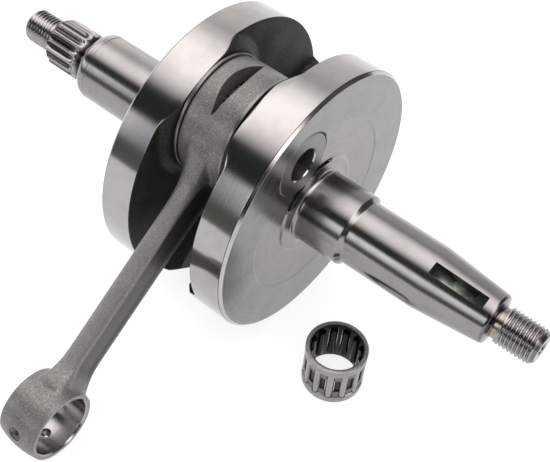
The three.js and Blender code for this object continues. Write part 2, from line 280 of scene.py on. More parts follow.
def plain_rings(profile, columns, kind=0):
    """Rings of constant radius from (radius, y) points."""
    return [(np.full(columns, float(r)), np.full(columns, float(y)), kind) for r, y in profile]


def revolve(name, profile, columns=128, place=None, sharp=35):
    """A closed body turned about Y from (radius, y) points whose first and last lie on the axis."""
    return skin(name, profile[0][1], plain_rings(profile[1:-1], columns), profile[-1][1], place, sharp)


def tube_ring(name, section, columns, place=None, sharp=35):
    """A ring turned about Y: its (radius, y) section closes on itself."""
    rows = len(section)
    rings = plain_rings(section, columns)
    verts = np.concatenate([ring_points(radii, heights) for radii, heights, _ in rings])
    faces = []
    for row in range(rows):
        faces += bridge(row * columns, columns, ((row + 1) % rows) * columns, columns)
    return new_object(name, verts, faces, place, sharp)


def rounded(corners, radius, steps):
    """The outline with each inner corner replaced by a short curve of about that radius."""
    out = [corners[0]]
    for before, here, after in zip(corners, corners[1:], corners[2:]):
        p, q, r = (np.array(c, float) for c in (before, here, after))
        reach = min(radius, np.linalg.norm(q - p) * 0.45, np.linalg.norm(r - q) * 0.45)
        start = q + (p - q) / max(np.linalg.norm(p - q), 1e-9) * reach
        end = q + (r - q) / max(np.linalg.norm(r - q), 1e-9) * reach
        for i in range(steps + 1):
            t = i / steps
            out.append(tuple((1 - t) ** 2 * start + 2 * t * (1 - t) * q + t * t * end))
    out.append(corners[-1])
    return out


def ring_section(corners, radius, steps=3):
    """A closed section with every corner rounded."""
    wrapped = [corners[-1]] + corners + [corners[0]]
    return rounded(wrapped, radius, steps)[1:-1]


def arc(centre_r, centre_y, radius, start, end, steps):
    """Points of an arc in the (radius, y) plane; 0 degrees points outwards and 90 along +Y."""
    points = []
    for i in range(steps + 1):
        a = math.radians(start + (end - start) * i / steps)
        points.append((centre_r + radius * math.cos(a), centre_y + radius * math.sin(a)))
    return points


def prism(name, verts, place):
    """A block between two outlines with the same number of points, given one after the other."""
    count = len(verts) // 2
    faces = [(i, (i + 1) % count, count + (i + 1) % count, count + i) for i in range(count)]
    faces += [tuple(reversed(range(count))), tuple(range(count, 2 * count))]
    return new_object(name, verts, faces, place)


def apply_modifiers(obj):
    depsgraph = bpy.context.evaluated_depsgraph_get()
    mesh = bpy.data.meshes.new_from_object(obj.evaluated_get(depsgraph))
    obj.modifiers.clear()
    old = obj.data
    obj.data = mesh
    bpy.data.meshes.remove(old)


def paint(obj, *materials):
    for material in materials:
        obj.data.materials.append(material)
    return obj


def cut(target, cutter, slot=0):
    """One exact boolean cut; the new faces take the target's material in that slot."""
    for material in target.data.materials:
        cutter.data.materials.append(material)
    cutter.data.polygons.foreach_set("material_index", [slot] * len(cutter.data.polygons))
    modifier = target.modifiers.new("cut", "BOOLEAN")
    modifier.operation = "DIFFERENCE"
    modifier.solver = "EXACT"
    modifier.object = cutter
    apply_modifiers(target)
    bpy.data.objects.remove(cutter)


def joined(name, parts):
    """One object whose mesh holds all the shells."""
    target = parts[0]
    with bpy.context.temp_override(active_object=target, selected_editable_objects=parts, object=target):
        bpy.ops.object.join()
    target.name = name
    return target


# ---------- places as matrices ----------
def turned_about_y(angle):
    """Turns X towards Z by the angle."""
    return Matrix.Rotation(-angle, 4, "Y")


CRANK = turned_about_y(PIN_ANGLE)
AT_PIN = Matrix.Translation(Vector(pin_centre))
ROD = AT_PIN @ turned_about_y(ROD_ANGLE)
SMALL_EYE = ROD @ Matrix.Translation((ROD_LENGTH, 0, 0))
BIG_CAGE = AT_PIN @ CRANK
UPRIGHT = Matrix.Rotation(math.pi / 2, 4, "X")
LOOSE_BEARING = Matrix.Translation(Vector(bearing_centre)) @ UPRIGHT
MIRROR_Y = Matrix.Diagonal((1, -1, 1, 1))


def side_place(side, place):
    """The place of a part made for the tapered side, mirrored for the splined side."""
    return place if side > 0 else place @ MIRROR_Y


# ---------- materials ----------
class Nodes:
    """A node tree of a material or a world, with short ways to add to it."""

    def __init__(self, tree):
        self.tree = tree

    def link(self, source, target):
        self.tree.links.new(source, target)

    def feed(self, socket, value):
        """Links another node's output to the socket, or sets a plain number, vector or colour."""
        if isinstance(value, bpy.types.NodeSocket):
            self.link(value, socket)
        elif socket.type == "RGBA":
            socket.default_value = (*value, 1)
        else:
            socket.default_value = value

    def add(self, kind, **inputs):
        node = self.tree.nodes.new("ShaderNode" + kind)
        for name, value in inputs.items():
            self.feed(node.inputs[name.replace("_", " ")], value)
        return node

    def math(self, operation, a, b=0.0):
        node = self.add("Math")
        node.operation = operation
        self.feed(node.inputs[0], a)
        self.feed(node.inputs[1], b)
        return node.outputs[0]

    def spread(self, value, low, high, to_low=0.0, to_high=1.0):
        """Maps low..high of a value to a new range, clamped and eased."""
        node = self.add("MapRange", Value=value)
        node.interpolation_type = "SMOOTHSTEP"
        for name, number in zip(("From Min", "From Max", "To Min", "To Max"), (low, high, to_low, to_high)):
            node.inputs[name].default_value = number
        return node.outputs[0]

    def mix(self, factor, a, b):
        """Mixes two colours."""
        node = self.add("Mix")
        node.data_type = "RGBA"
        for index, value in ((0, factor), (6, a), (7, b)):
            self.feed(node.inputs[index], value)
        return node.outputs[2]


class Steel(Nodes):
    """One metal with its grain, wear and machining marks, wired in the row frame's metres."""

    def __init__(self, name, roughness, anisotropy=0.0, tangent_axis=None, metallic=1.0):
        self.material = bpy.data.materials.new(name)
        self.material.use_nodes = True
        super().__init__(self.material.node_tree)
        self.surface = self.tree.nodes["Principled BSDF"]
        self.surface.inputs["Metallic"].default_value = metallic
        self.surface.inputs["Roughness"].default_value = roughness
        self.place = self.add("TexCoord").outputs["Object"]
        self.axes = self.add("SeparateXYZ", Vector=self.place)
        if tangent_axis:
            tangent = self.add("Tangent")
            tangent.direction_type = "RADIAL"
            tangent.axis = tangent_axis
            self.surface.inputs["Anisotropic"].default_value = anisotropy
            self.surface.inputs["Anisotropic Rotation"].default_value = 0.25
            self.link(tangent.outputs["Tangent"], self.surface.inputs["Tangent"])

    def axis(self, letter, centre=0.0):
        return self.math("SUBTRACT", self.axes.outputs[letter], centre)

    def radius(self, centre_x=0.0, centre_z=0.0):
        """Distance from a line along Y."""
        x = self.axis("X", centre_x)
        z = self.axis("Z", centre_z)
        return self.math("SQRT", self.math("ADD", self.math("MULTIPLY", x, x), self.math("MULTIPLY", z, z)))

    def noise(self, size_mm, detail=3.0, rough=0.5, stretch=None, distortion=0.0):
        """Noise of about that grain size; stretch lengthens it along X, Y and Z."""
        vector = self.place
        if stretch:
            vector = self.add("Mapping", Vector=self.place, Scale=[1 / s for s in stretch]).outputs[0]
        return self.add("TexNoise", Vector=vector, Scale=1 / (size_mm * MM), Detail=detail, Roughness=rough,
                        Distortion=distortion).outputs[0]

    def lines(self, along, size_mm, detail=3.0, rough=0.6):
        """One-dimensional noise: tool marks that vary across a radius or a length."""
        node = self.add("TexNoise")
        node.noise_dimensions = "1D"
        self.link(along, node.inputs["W"])
        node.inputs["Scale"].default_value = 1 / (size_mm * MM)
        node.inputs["Detail"].default_value = detail
        node.inputs["Roughness"].default_value = rough
        return node.outputs[0]

    def colour(self, value):
        self.feed(self.surface.inputs["Base Color"], value)

    def rough(self, value):
        self.link(value, self.surface.inputs["Roughness"])

    def bumps(self, *layers):
        """Stacks (height, depth in mm) layers of relief."""
        normal = None
        for height, depth in layers:
            node = self.add("Bump", Height=height, Distance=depth * MM, Strength=1.0)
            if normal is not None:
                self.link(normal, node.inputs["Normal"])
            normal = node.outputs[0]
        self.link(normal, self.surface.inputs["Normal"])
        return self.material


def turned_steel(name, tone, mark_mm, along, roughness, anisotropy, depth, centre=(0, 0), adjust=None):
    """Machined steel of that tone whose tool marks run round an axis along Y."""
    steel = Steel(name, roughness, anisotropy, "Y")
    run = steel.radius(*centre) if along == "radius" else steel.axis("Y")
    marks = steel.lines(run, mark_mm, 1.0)
    broad = steel.lines(run, mark_mm * 6, 1.0)
    patches = steel.noise(7.0, 4.0, 0.6)
    grain = steel.noise(0.35, 2.0)
    clean = (tone * 1.02, tone, tone * 0.985)
    body = steel.mix(steel.spread(patches, 0.4, 0.7), clean, tuple(c * 0.9 for c in clean))
    steel.colour(adjust(steel, body) if adjust else body)
    swing = roughness * 0.45
    uneven = steel.math("ADD", steel.math("MULTIPLY", marks, swing), steel.math("MULTIPLY", patches, swing))
    steel.rough(steel.math("ADD", uneven, roughness - swing))
    return steel.bumps((broad, depth * 2), (marks, depth), (grain, depth * 0.3))


def forged_steel(name, light, dark, roughness, grain_mm, depth, metallic=0.5, adjust=None, sheen=0.5):
    """Blasted or forged skin: an even fine grain with pits, soft waves and scattered bright specks that are
    painted glints.
    """
    steel = Steel(name, roughness, metallic=metallic)
    steel.surface.inputs["Specular IOR Level"].default_value = sheen
    grain = steel.noise(grain_mm, 3.0, 0.7)
    pits = steel.add("TexVoronoi", Vector=steel.place, Scale=1 / (grain_mm * 1.6 * MM)).outputs["Distance"]
    waves = steel.noise(6.0, 3.0, 0.55)
    specks = steel.noise(grain_mm * 1.3, 1.0)
    tone = steel.math("ADD", steel.math("MULTIPLY", grain, 0.85), steel.math("MULTIPLY", waves, 0.15))
    body = steel.mix(steel.spread(tone, 0.34, 0.66), dark, light)
    # Painted glints: rare bright specks mixed into the colour.
    bright = tuple(min(1.0, c * 1.8) for c in light)
    body = steel.mix(steel.spread(specks, 0.66, 0.74, 0.0, 0.8), body, bright)
    steel.colour(adjust(steel, body) if adjust else body)
    steel.rough(steel.spread(grain, 0.35, 0.7, roughness + 0.08, roughness - 0.1))
    return steel.bumps((waves, depth * 4), (pits, depth), (grain, depth))


def dark_roots(low, high, dark):
    """Darkens the foot of a form that stands round the crank axis, from one radius to another."""
    def adjust(steel, body):
        return steel.mix(steel.spread(steel.radius(), low * MM, high * MM), dark, body)
    return adjust


def thread_root_shade_and_heat_tint(steel, body):
    """Roots darkened as painted shade, and the straw and brown of a heated neck beside the taper."""
    # Painted shade: the thread's roots are darkened.
    body = dark_roots(4.35, 4.75, (0.16, 0.16, 0.15))(steel, body)
    patches = steel.noise(1.6, 3.0)
    near = steel.spread(steel.axis("Y"), 78.2 * MM, 76.2 * MM)
    beyond = steel.spread(steel.axis("Y"), 60 * MM, 61 * MM)
    neck = steel.math("MULTIPLY", near, beyond)
    warm = steel.math("MULTIPLY", neck, steel.spread(patches, 0.35, 0.6, 0.35, 1.0))
    return steel.mix(warm, body, (0.34, 0.29, 0.235))


def tinted_shaft(steel, body):
    """Brown and violet tints at the small end of the taper."""
    near = steel.spread(steel.axis("Y"), 74.0 * MM, 74.9 * MM, 0.0, 0.8)
    return steel.mix(near, body, (0.12, 0.1, 0.115))


def face_tones(steel, body):
    """A faintly rosy dish with a soft edge and cloudy grey patches."""
    clouds = steel.noise(11.0, 3.0, 0.5)
    body = steel.mix(steel.spread(clouds, 0.35, 0.65, 0.0, 0.6), body, (0.215, 0.225, 0.228))
    ring = steel.radius()
    inside = steel.spread(ring, (RECESS_RADIUS + 0.3) * MM, (RECESS_RADIUS - 1.2) * MM)
    return steel.mix(steel.math("MULTIPLY", inside, 0.5), body, (0.262, 0.242, 0.238))


def groove_painted_shade(steel, body):
    """The groove round the hub is painted black beside the crank pin, as shade in its depth, and left plain
    elsewhere.
    """
    x = steel.math("MULTIPLY", steel.axis("X"), math.cos(PIN_ANGLE))
    z = steel.math("MULTIPLY", steel.axis("Z"), math.sin(PIN_ANGLE))
    beside_pin = steel.spread(steel.math("ADD", x, z), 10.4 * MM, 11.6 * MM)
    return steel.mix(beside_pin, body, (0.012, 0.013, 0.012))


def rod_tones(steel, body):
    """The shank is lighter than the eyes in fine patches, and its channels are painted near-black as shade.
    """
    x = steel.axis("X", pin_centre[0] * MM)
    z = steel.axis("Z", pin_centre[2] * MM)
    run, rise = math.cos(ROD_ANGLE), math.sin(ROD_ANGLE)
    along = steel.math("ADD", steel.math("MULTIPLY", x, run), steel.math("MULTIPLY", z, rise))
    across = steel.math("SUBTRACT", steel.math("MULTIPLY", z, run), steel.math("MULTIPLY", x, rise))
    inside = steel.spread(steel.math("ABSOLUTE", across), 4.6 * MM, 3.2 * MM)
    ends = steel.math("MULTIPLY", steel.spread(along, 15 * MM, 20 * MM),
                      steel.spread(along, 77 * MM, 72 * MM))
    shank = steel.math("MULTIPLY", steel.spread(along, 14 * MM, 26 * MM, 0.0, 0.4),
                       steel.spread(along, 80 * MM, 70 * MM))
    lighter_shank = steel.math("MULTIPLY", shank, steel.noise(0.5, 2.0))
    body = steel.mix(lighter_shank, body, (0.42, 0.405, 0.385))
    # Painted shade: the channels along the shank are darkened nearly to black.
    painted_channel_shade = steel.math("MULTIPLY", steel.math("MULTIPLY", inside, ends), 0.72)
    return steel.mix(painted_channel_shade, body, (0.03, 0.029, 0.027))


def bearing_painted_shade(steel, body):
    """The loose bearing: painted shade, nearly black inside and dark in the waist between its end rings."""
    x = steel.axis("X", bearing_centre[0] * MM)
    y = steel.axis("Y", bearing_centre[1] * MM)
    z = steel.math("ABSOLUTE", steel.axis("Z", bearing_centre[2] * MM))
    out = steel.math("SQRT", steel.math("ADD", steel.math("MULTIPLY", x, x), steel.math("MULTIPLY", y, y)))
    ring = steel.spread(z, 4.5 * MM, 4.9 * MM, 0.0, 0.6 * MM)
    return steel.mix(steel.spread(steel.math("ADD", out, ring), 7.55 * MM, 8.05 * MM),
                     (0.008, 0.0095, 0.008), body)


PIN_LINE = (pin_centre[0] * MM, pin_centre[2] * MM)
rim_steel = turned_steel("rim_steel", 0.36, 0.35, "length", 0.13, 0.5, 0.0008)
face_steel = turned_steel("face_steel", 0.25, 1.3, "radius", 0.26, 0.3, 0.0004, adjust=face_tones)
shaft_steel = turned_steel("shaft_steel", 0.26, 0.3, "length", 0.2, 0.4, 0.0008, adjust=tinted_shaft)
bevel_steel = turned_steel("bevel_steel", 0.43, 0.3, "radius", 0.16, 0.3, 0.0006)
# Painted shade: a near-black line where the rim meets its chamfer.
painted_edge_shade_steel = turned_steel("painted_edge_shade_steel", 0.05, 0.3, "radius", 0.3, 0.0, 0.0006)
groove_steel = turned_steel("groove_steel", 0.3, 0.3, "radius", 0.3, 0.0, 0.0006, adjust=groove_painted_shade)
thread_steel = turned_steel("thread_steel", 0.31, 0.3, "length", 0.2, 0.2, 0.0008, adjust=thread_root_shade_and_heat_tint)
spline_steel = turned_steel("spline_steel", 0.29, 0.3, "length", 0.22, 0.2, 0.0008,
                            adjust=dark_roots(6.25, 6.9, (0.07, 0.067, 0.063)))
pin_steel = turned_steel("pin_steel", 0.2, 0.8, "radius", 0.34, 0.4, 0.0008, PIN_LINE)
pin_hollow = turned_steel("pin_hollow_steel", 0.2, 0.3, "length", 0.45, 0.0, 0.001, PIN_LINE)
# The inner web faces: the forged skin's own dark tone, darkened further to near-black as painted shade
# between the webs.
forged_web_with_painted_shade = forged_steel("forged_web_with_painted_shade_steel", (0.038, 0.038, 0.035), (0.01, 0.0105, 0.0095), 0.46, 0.3, 0.012,
                          sheen=0.15)
boss_steel = forged_steel("boss_steel", (0.22, 0.215, 0.205), (0.12, 0.117, 0.11), 0.42, 0.3, 0.008)
blasted_rod = forged_steel("blasted_rod_steel", (0.215, 0.208, 0.197), (0.085, 0.083, 0.078), 0.4, 0.28,
                           0.012, adjust=rod_tones)
ground_face = turned_steel("ground_face_steel", 0.24, 0.6, "length", 0.36, 0.0, 0.0008)
bore_steel = turned_steel("bore_steel", 0.34, 0.4, "length", 0.2, 0.0, 0.0012)
keyway_steel = forged_steel("keyway_steel", (0.24, 0.255, 0.24), (0.05, 0.06, 0.052), 0.34, 5.0, 0.002, 0.9)
cage_steel = forged_steel("cage_steel", (0.09, 0.088, 0.085), (0.04, 0.039, 0.037), 0.3, 0.3, 0.003)
loose_cage_steel = forged_steel("loose_cage_steel", (0.34, 0.325, 0.32), (0.22, 0.21, 0.206), 0.3, 0.3,
                                0.003, 0.75, bearing_painted_shade)
needle_steel = turned_steel("needle_steel", 0.12, 0.5, "radius", 0.22, 0.0, 0.0006)
loose_needle_steel = turned_steel("loose_needle_steel", 0.3, 0.5, "length", 0.24, 0.0, 0.0006,
                                  adjust=bearing_painted_shade)


# ---------- crank halves ----------
COLUMNS = 364
INNER, RIM, BEVEL, FACE, SHAFT, THREAD, BORE, KEY, EDGE_SHADE, GROOVE, SPLINE = range(11)
HALF_MATERIALS = (forged_web_with_painted_shade, rim_steel, bevel_steel, face_steel, shaft_steel, thread_steel, boss_steel,
                  keyway_steel, painted_edge_shade_steel, groove_steel, spline_steel)


def mouth_outline(start, end):
    """The counterweight pad's edge, from the rim at one side of the pin to the rim at the other."""
    reach = WEB_RADIUS + 8
    return [
        (reach * math.cos(end), reach * math.sin(end)),
        (-MOUTH_FLOOR, MOUTH_HALF_WIDTH),
        (-MOUTH_FLOOR, -MOUTH_HALF_WIDTH),
        (reach * math.cos(start), reach * math.sin(start)),
    ]


def distance_to_path(px, pz, path):
    """Signed distance to an open path, positive on its left."""
    best = np.full(px.shape, 1e9)
    sign = np.ones(px.shape)
    for (ax, az), (bx, bz) in zip(path, path[1:]):
        dx, dz = bx - ax, bz - az
        t = np.clip(((px - ax) * dx + (pz - az) * dz) / (dx * dx + dz * dz), 0, 1)
        d = np.hypot(px - (ax + t * dx), pz - (az + t * dz))
        side = np.sign(dx * (pz - az) - dz * (px - ax))
        sign = np.where(d < best, side, sign)
        best = np.minimum(best, d)
    return best * sign


def inner_height(radius, angle, mouth):
    """How far the forged inner face stands above its lowest level, towards the rod."""
    px, pz = radius * np.cos(angle), radius * np.sin(angle)
    from_pin = np.hypot(px - THROW, pz)
    boss = (WEB_INNER - BOSS_FACE) * smoothstep(BOSS_FOOT + 0.4, BOSS_RADIUS - 0.2, from_pin)
    outside = -distance_to_path(px, pz, mouth_outline(*mouth))
    pad = (WEB_INNER - PAD_FACE) * smoothstep(-PAD_RUN / 2, PAD_RUN / 2, outside)
    pad = np.minimum(pad, PAD_RIM_HEIGHT + PAD_RIM_SLOPE * (WEB_RADIUS - radius))
    waves = CAST_WAVE * np.sin(px * 0.35 + 1.3) * np.sin(pz * 0.28 + 0.4)
    cast = waves * smoothstep(BOSS_FOOT, BOSS_FOOT + 4, from_pin) * smoothstep(37.5, 33, radius)
    return np.maximum(boss, pad) + cast


def outer_depth(radius, beside_pin=0.0):
    """How deep the turned outer face lies.

    It is a shallow dish with a raised hub, and beside the pin a deep groove runs round the hub.
    """
    dish = RECESS_STEP * smoothstep(RECESS_RADIUS, RECESS_RADIUS - 0.5, radius)
    dish = dish + DISH_DEPTH * np.clip((RECESS_RADIUS - radius) / DISH_RUN, 0, 1)
    groove = smoothstep(GROOVE_RADIUS, GROOVE_RADIUS - GROOVE_WALL, radius)
    groove = groove * smoothstep(HUB_RADIUS, HUB_RADIUS + GROOVE_WALL, radius)
    step = -HUB_RISE * np.clip((GROOVE_RADIUS - radius) / 0.5, 0, 1)
    sharp = -HUB_RISE * smoothstep(HUB_RADIUS + 0.1, HUB_RADIUS, radius)
    return dish + beside_pin * (GROOVE_DEPTH * groove + sharp) + (1 - beside_pin) * step


def web_rings(mouth):
    """The web's skin from the middle of its inner face round the rim to the hub."""
    lip = [(WEB_RADIUS - 0.25, 0.04), (WEB_RADIUS - 0.08, 0.14), (WEB_RADIUS, 0.32)]
    rows = [(r, WEB_INNER, INNER) for r in list(np.linspace(1.5, 36.6, 56)) + [37.0, 37.35, 37.6]]
    rows += [(r, WEB_INNER + drop, INNER) for r, drop in lip]
    turned = WEB_OUTER - RIM_CHAMFER
    bevel_inner = WEB_RADIUS - RIM_CHAMFER
    rows += [(WEB_RADIUS, y, RIM) for y in (WEB_INNER + 0.4, 12, 15, 18, turned - 0.16, turned - 0.08)]
    # The thin band at the rim's corner is painted near-black as shade.
    rows += [(WEB_RADIUS - 0.03, turned + 0.03, EDGE_SHADE), (WEB_RADIUS - 0.07, turned + 0.07, EDGE_SHADE)]
    rows += [(WEB_RADIUS - 0.12, turned + 0.12, BEVEL), (bevel_inner + 0.1, WEB_OUTER - 0.1, BEVEL)]
    rows += [(bevel_inner + 0.03, WEB_OUTER - 0.03, BEVEL), (bevel_inner - 0.04, WEB_OUTER, FACE)]
    outer = [bevel_inner - 0.12, *np.linspace(36.5, 26.5, 12), 25.8, *np.linspace(25.5, 24.7, 7),
             *np.linspace(24.3, 15.4, 18), GROOVE_RADIUS + 0.06, GROOVE_RADIUS]
    floor = [GROOVE_RADIUS - GROOVE_WALL, GROOVE_RADIUS - 0.2, HUB_RADIUS + 0.2, HUB_RADIUS + GROOVE_WALL]
    hub = [HUB_RADIUS, HUB_RADIUS - 0.07, 13.2, 12.6, HUB_FOOT]
    for radii, kind in ((outer, FACE), (floor, GROOVE), (hub, FACE)):
        rows += [(r, WEB_OUTER, kind) for r in radii]
    angles = even_angles(COLUMNS)
    beside_pin = smoothstep(-0.72, -0.6, -np.abs((angles + math.pi) % (2 * math.pi) - math.pi))
    rings = []
    for radius, y, kind in rows:
        radii = np.full(COLUMNS, float(radius))
        heights = np.full(COLUMNS, float(y))
        if kind == INNER:
            heights = heights - inner_height(radii, angles, mouth)
        if y == WEB_OUTER:
            heights = heights - outer_depth(radii, beside_pin)
        rings.append((radii, heights, kind))
    return rings


def hub_profile():
    """The hub's rim and the fillet where the shaft leaves it."""
    foot = WEB_OUTER - float(outer_depth(np.array(HUB_FOOT)))
    return [(11.7, foot)] + arc(11.2, foot + HUB_FILLET, HUB_FILLET, -75, -180, 9)


def taper_profile():
    """Bearing seat, seal seat, taper and the neck before the thread."""
    corners = [
        (JOURNAL, JOURNAL_START), (JOURNAL, 33.6), (8.85, 34.75), (8.82, 35.6),
        (8.78, 55.8), (6.92, 74.4), (6.5, 75.0), (5.1, 75.15),
    ]
    return hub_profile() + rounded(corners, 0.25, 3) + arc(5.0, 76.0, 0.75, -100, -180, 6)


def spline_profile():
    """Bearing seat with a fine line near its rounded end, and the neck before the splines."""
    seat = [(JOURNAL, JOURNAL_START), (JOURNAL, 54.9), (JOURNAL - 0.12, 55.0), (JOURNAL - 0.12, 55.14),
            (JOURNAL - 0.02, 55.24), (JOURNAL - 0.02, 56.2)]
    nose = arc(7.2, 56.2, 2.78, 2, 80, 12) + [(7.2, 59.05), (6.6, 59.1)]
    neck = arc(6.4, 59.7, 0.6, -90, -180, 6) + [(5.8, 60.7)]
    return hub_profile() + seat + nose + neck


def thread_rings(start, end, hand, columns):
    """A thread with flattened crests, a chamfered end and a centre hole."""
    per_pitch = 12
    chamfer = 1.3
    angles = even_angles(columns)
    rings = []
    for y in np.linspace(start, end, int((end - start) / THREAD_PITCH * per_pitch)):
        phase = (y / THREAD_PITCH + hand * angles / (2 * math.pi)) % 1
        groove = THREAD_DEPTH * smoothstep(0.04, 0.96, np.abs(2 * phase - 1))
        limit = THREAD_RADIUS - max(0, y - (end - chamfer)) * 0.95
        runout = float(smoothstep(start, start + 1.6, y))
        radii = np.minimum(THREAD_RADIUS - groove * (0.35 + 0.65 * runout), limit)
        rings.append((radii, np.full(columns, y), THREAD))
    centre_hole = [(3.7, end), (2.6, end - 0.02), (1.75, end - 0.02), (1.6, end - 0.06), (0.55, end - 1.9),
                   (0.5, end - 3.2)]
    return rings + plain_rings(centre_hole, columns, THREAD)


def spline_rings(columns):
    """Teeth with narrow lands and sloped flanks, cut by a hob that runs out before the neck."""
    phase = ((even_angles(columns) - SPLINE_TURN) / (2 * math.pi) * SPLINE_TEETH + 0.5) % 1
    off_crest = np.abs(2 * phase - 1)
    tooth = np.clip((0.74 - off_crest) / 0.5, 0, 1)
    worn = 0.06 * smoothstep(0.12, 0.26, off_crest)
    start, end = SPLINE_START, SPLINE_FINISH
    rings = []
    lengths = [*np.linspace(start, 62.2, 10), *np.linspace(62.3, 65.4, 16), *np.linspace(65.8, 72.0, 8),
               *np.linspace(72.2, end, 12)]
    for y in lengths:
        nose = SPLINE_ROOT - 0.2 + min(1.3, (y - start) * 1.05)
        tail = SPLINE_TIP - max(0, y - (end - SPLINE_CHAMFER)) * 0.8
        runout = SPLINE_TIP - 0.3 - SPLINE_ROOT
        rise = runout * float(np.clip((65.2 - y) / 2.7, 0, 1)) ** 1.6
        radii = SPLINE_ROOT + rise + (SPLINE_TIP - SPLINE_ROOT - rise) * tooth - worn
        rings.append((np.minimum(radii, min(SPLINE_TIP, nose, tail)), np.full(columns, y), SPLINE))
    return rings


def crank_half(name, side, mouth, rings_after_web, last_y):
    """One web with its shaft in a single skin, bored for the crank pin."""
    rings = web_rings(mouth) + rings_after_web
    pole = WEB_INNER - float(inner_height(np.zeros(1), np.zeros(1), mouth)[0])
    half = skin(name, pole, rings, last_y, side_place(side, CRANK), 30)
    paint(half, *HALF_MATERIALS)
    inside, outside = PIN_RADIUS + 0.1, PIN_RADIUS + 0.4
    bore = [(0, -1), (inside, -1), (inside, WEB_OUTER - 0.3), (outside, WEB_OUTER + 0.05),
            (outside, 24), (0, 24)]
    cut(half, revolve("hole", bore, 160, side_place(side, AT_PIN)), BORE)
    return half


def taper_half(name):
    start, end = TAPER_THREAD_START, TAPER_END
    rings = plain_rings(taper_profile(), COLUMNS // 2, SHAFT)
    rings += plain_rings([(NECK_RADIUS - 0.05, start - 0.4), (NECK_RADIUS, start)], COLUMNS // 4, THREAD)
    rings += thread_rings(start + 0.1, end, 1, COLUMNS // 4)
    half = crank_half(name, 1, TAPER_MOUTH, rings, end - CENTRE_HOLE_DEPTH)
    steps = 160
    outline = []
    for i in range(steps):
        a = 2 * math.pi * i / steps
        outline.append((KEY_CUTTER_HEIGHT + KEY_CUTTER_RADIUS * math.cos(a),
                        KEY_CENTRE + KEY_CUTTER_RADIUS * math.sin(a)))
    verts = [(x, y, z) for z in (-KEY_HALF_WIDTH, KEY_HALF_WIDTH) for x, y in outline]
    cut(half, prism("key_cutter", verts, CRANK), KEY)
    smooth(half, 30)
    return half


def spline_half(name):
    start, end = SPLINE_THREAD_START, SPLINE_END
    rings = plain_rings(spline_profile(), COLUMNS, SHAFT)
    rings += spline_rings(COLUMNS)
    rings += plain_rings([(4.6, 74.05)], COLUMNS // 2, THREAD)
    rings += plain_rings([(NECK_RADIUS, start)], COLUMNS // 4, THREAD)
    rings += thread_rings(start + 0.1, end, -1, COLUMNS // 4)
    half = crank_half(name, -1, SPLINE_MOUTH, rings, end - CENTRE_HOLE_DEPTH)
    smooth(half, 30)
    return half


def crank_pin(name):
    """A hollow pressed pin: ground ends, a fine chamfer at its hollow and a dark inside."""
    ground, hollow, chamfer = range(3)
    half = WEB_OUTER - 0.2
    edge = PIN_RADIUS - 0.25
    lip = PIN_HOLLOW + 0.22
    section = [(PIN_HOLLOW, -half + 0.3), (lip, -half), (edge, -half), (PIN_RADIUS, -half + 0.25),
               (PIN_RADIUS, half - 0.25), (edge, half), (lip, half), (PIN_HOLLOW, half - 0.3)]
    kinds = [chamfer] + [ground] * 5 + [chamfer, hollow]
    columns = 160
    pin = paint(tube_ring(name, section, columns, AT_PIN, 25), pin_steel, pin_hollow, bevel_steel)
    pin.data.polygons.foreach_set("material_index", [kind for kind in kinds for _ in range(columns)])
    return pin


def thrust_washer(name, side):
    low, high = washer_low[1], washer_high[1]
    radius = (washer_high[2] - washer_low[2]) / 2
    bore = PIN_RADIUS + 0.3
    section = ring_section([(bore, low), (radius, low), (radius, high), (bore, high)], 0.25, 4)
    return paint(tube_ring(name, section, 160, side_place(side, AT_PIN), 30), pin_steel)


# ---------- connecting rod ----------
def flare(x, centre, run, size):
    """How much the shank widens near one of the eyes."""
    return size * math.exp(-(((x - centre) / run) ** 2))


def shank_half_height(x):
    return SHANK_HALF_HEIGHT + flare(x, SHANK_START, 8.5, 8.1) + flare(x, 80, 5.2, 2.3)


def shank_half_thickness(x):
    return SHANK_HALF_THICKNESS + flare(x, SHANK_START, 7, 2.6) + flare(x, SHANK_END, 5, 1.3)


def shank_shell(name):
    """A rounded bar along X whose section flares into both eyes, with a sunk channel in each side."""
    steps, sides = 150, 72
    verts = []
    for i in range(steps + 1):
        x = SHANK_START + (SHANK_END - SHANK_START) * i / steps
        height, thick = shank_half_height(x), shank_half_thickness(x)
        ends = float(smoothstep(13.5, 18, x) * smoothstep(77, 71.5, x))
        for j in range(sides):
            a = 2 * math.pi * j / sides
            c, s = math.cos(a), math.sin(a)
            y = math.copysign(abs(c) ** 0.68, c) * thick
            z = math.copysign(abs(s) ** 0.6, s) * height
            across = float(smoothstep(4.5, 3.0, abs(z)))
            y -= math.copysign(CHANNEL_DEPTH * ends * across, y)
            verts.append((x, y, z))
    faces = []
    for i in range(steps):
        faces += bridge(i * sides, sides, (i + 1) * sides, sides)
    faces.append(tuple(reversed(range(sides))))
    faces.append(tuple(range(steps * sides, (steps + 1) * sides)))
    return new_object(name, verts, faces, ROD)


def eye_shell(name, place, radius_at, half):
    """A drum about Y whose radius follows radius_at from -1 at one face to 1 at the other."""
    steps = 24
    profile = [(0, -half)]
    for i in range(steps + 1):
        share = -1 + 2 * i / steps
        profile.append((radius_at(share), share * half))
    return revolve(name, profile + [(0, half)], 128, place)


def fused(obj, voxel, rounds):
    """Fuses overlapping shells into one skin and softens it as a forging."""
    remesh = obj.modifiers.new("fuse", "REMESH")
    remesh.mode = "VOXEL"
    remesh.voxel_size = voxel * MM
    apply_modifiers(obj)
    soften = obj.modifiers.new("soften", "SMOOTH")
    soften.factor = 0.5
    soften.iterations = rounds
    apply_modifiers(obj)
    return obj


def cylinder_cutter(radius, low, high, place, columns=128):
    return revolve("cutter", [(0, low), (radius, low), (radius, high), (0, high)], columns, place)


def bore_cutter(radius, half, chamfer, place):
    """A through bore with a chamfer at both faces."""
    wide = chamfer + 3
    profile = [(0, -half - 3), (radius + wide, -half - 3), (radius, -half + chamfer),
               (radius, half - chamfer), (radius + wide, half + 3), (0, half + 3)]
    return revolve("bore", profile, 160, place)


